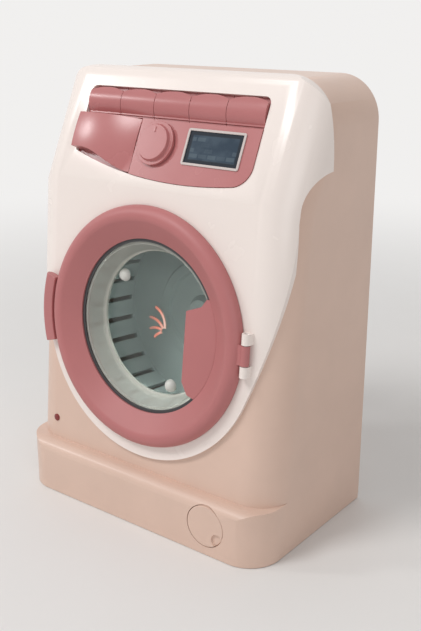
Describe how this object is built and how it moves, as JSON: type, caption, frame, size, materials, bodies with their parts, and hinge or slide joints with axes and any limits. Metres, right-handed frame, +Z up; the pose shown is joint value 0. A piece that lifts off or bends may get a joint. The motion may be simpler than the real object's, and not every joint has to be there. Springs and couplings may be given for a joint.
{
  "type": "toy washing machine",
  "caption": "Small free-standing toy front-loading washing machine with a hinged round door, a turning drum, push keys, a knob and a pull-out drawer.",
  "frame": {"origin": "middle of the resting face, under the centre of the bounding box", "axes": "+X to the viewer's right when facing the door, +Y from the front to the rear, +Z up"},
  "size_m": [0.138, 0.08, 0.19],
  "materials": {
    "beige_plastic": "satin moulded plastic, warm beige",
    "white_plastic": "glossy moulded plastic, warm white",
    "pink_plastic": "glossy moulded plastic, dusty pink",
    "clear_plastic": "clear moulded plastic bowl",
    "swirl_plastic": "raised salmon strokes",
    "drum_plastic": "grey moulded plastic with a metallic look",
    "lamp_white": "white domed buttons",
    "dark_plastic": "dark moulded plastic",
    "screen": "dark tinted display window",
    "lens_red": "dark red lens",
    "bezel": "pale grey frame",
    "steel": "bright steel",
    "brass": "sintered bush",
    "gear_plastic": "natural acetal",
    "inner_plastic": "grey moulded plastic",
    "board": "green printed board",
    "silicone": "pale silicone",
    "cell": "printed cell jacket, plain green"
  },
  "bodies": {
    "housing": {"body_shell": "beige_plastic", "front_shell": "white_plastic", "rear_cover": "beige_plastic", "base_plate": "beige_plastic", "filter_cap": "beige_plastic", "indicator_lens": "lens_red", "control_panel": "pink_plastic", "lcd_bezel": "bezel", "lcd_window": "screen", "lcd_module": "inner_plastic", "key_carrier": "inner_plastic", "keypad_mat": "silicone", "circuit_board": "board", "knob_switch": "dark_plastic", "board_screws": "steel", "door_hinge_pin": "steel", "gear_plate": "inner_plastic", "drum_bush": "brass", "reduction_axle": "steel", "motor": "steel", "motor_clamp": "inner_plastic", "battery_box": "inner_plastic", "batteries": "cell", "battery_contacts": "steel", "battery_cover": "beige_plastic", "battery_screw": "steel", "speaker": "dark_plastic", "switch_body": "dark_plastic", "shell_screws": "steel", "gear_plate_screws": "steel", "rear_screws": "steel", "base_screws": "steel"},
    "door": {"door_ring": "pink_plastic", "door_infill": "pink_plastic", "door_seal": "dark_plastic", "door_glass": "clear_plastic", "door_swirl": "swirl_plastic", "bowl_bosses": "lamp_white", "door_handle": "pink_plastic", "door_latch": "pink_plastic"},
    "drum_unit": {"drum": "drum_plastic", "drum_shaft": "steel", "drum_gear": "gear_plastic", "shaft_clip": "steel"},
    "reduction": {"reduction_gear": "gear_plastic"},
    "rotor": {"motor_pinion": "brass"},
    "knob": {"program_knob": "pink_plastic"},
    "drawer": {"detergent_drawer": "pink_plastic"},
    "slider": {"power_slider": "dark_plastic"},
    "key_1_body": {"key_1": "pink_plastic"},
    "key_2_body": {"key_2": "pink_plastic"},
    "key_3_body": {"key_3": "pink_plastic"},
    "key_4_body": {"key_4": "pink_plastic"},
    "key_5_body": {"key_5": "pink_plastic"}
  },
  "joints": [
    {"name": "door_hinge", "type": "hinge", "parent": "housing", "child": "door", "pos_m": [0.053, -0.03062, 0.08736], "axis": [0, 0.0958, 0.9954], "range_deg": [0, 110]},
    {"name": "drum_spin", "type": "hinge", "parent": "housing", "child": "drum_unit", "pos_m": [0, -0.02693, 0.087], "axis": [0, -0.9954, 0.0958], "continuous": true},
    {"name": "reduction_spin", "type": "hinge", "parent": "housing", "child": "reduction", "pos_m": [0.02375, 0.02475, 0.10204], "axis": [0, -0.9954, 0.0958], "continuous": true},
    {"name": "motor_spin", "type": "hinge", "parent": "housing", "child": "rotor", "pos_m": [0.04213, 0.02622, 0.1174], "axis": [0, -0.9954, 0.0958], "continuous": true},
    {"name": "knob_turn", "type": "hinge", "parent": "housing", "child": "knob", "pos_m": [-0.0025, -0.01377, 0.16047], "axis": [0, -0.9063, 0.4226], "range_deg": [-150, 150]},
    {"name": "drawer_slide", "type": "slide", "parent": "housing", "child": "drawer", "axis": [0, -1, 0], "range_m": [0, 0.018]},
    {"name": "power_slide", "type": "slide", "parent": "housing", "child": "slider", "axis": [1, 0, 0], "range_m": [0, 0.004]},
    {"name": "key_1_press", "type": "slide", "parent": "housing", "child": "key_1_body", "axis": [0, 0.9063, -0.4226], "range_m": [0, 0.0015], "stiffness_N_per_m": 300, "springref_m": -0.001},
    {"name": "key_2_press", "type": "slide", "parent": "housing", "child": "key_2_body", "axis": [0, 0.9063, -0.4226], "range_m": [0, 0.0015], "stiffness_N_per_m": 300, "springref_m": -0.001},
    {"name": "key_3_press", "type": "slide", "parent": "housing", "child": "key_3_body", "axis": [0, 0.9063, -0.4226], "range_m": [0, 0.0015], "stiffness_N_per_m": 300, "springref_m": -0.001},
    {"name": "key_4_press", "type": "slide", "parent": "housing", "child": "key_4_body", "axis": [0, 0.9063, -0.4226], "range_m": [0, 0.0015], "stiffness_N_per_m": 300, "springref_m": -0.001},
    {"name": "key_5_press", "type": "slide", "parent": "housing", "child": "key_5_body", "axis": [0, 0.9063, -0.4226], "range_m": [0, 0.0015], "stiffness_N_per_m": 300, "springref_m": -0.001}
  ],
  "couplings": [
    {"joint": "reduction_spin", "follows": "drum_spin", "ratio": -4.1667},
    {"joint": "motor_spin", "follows": "drum_spin", "ratio": 12.5}
  ]
}
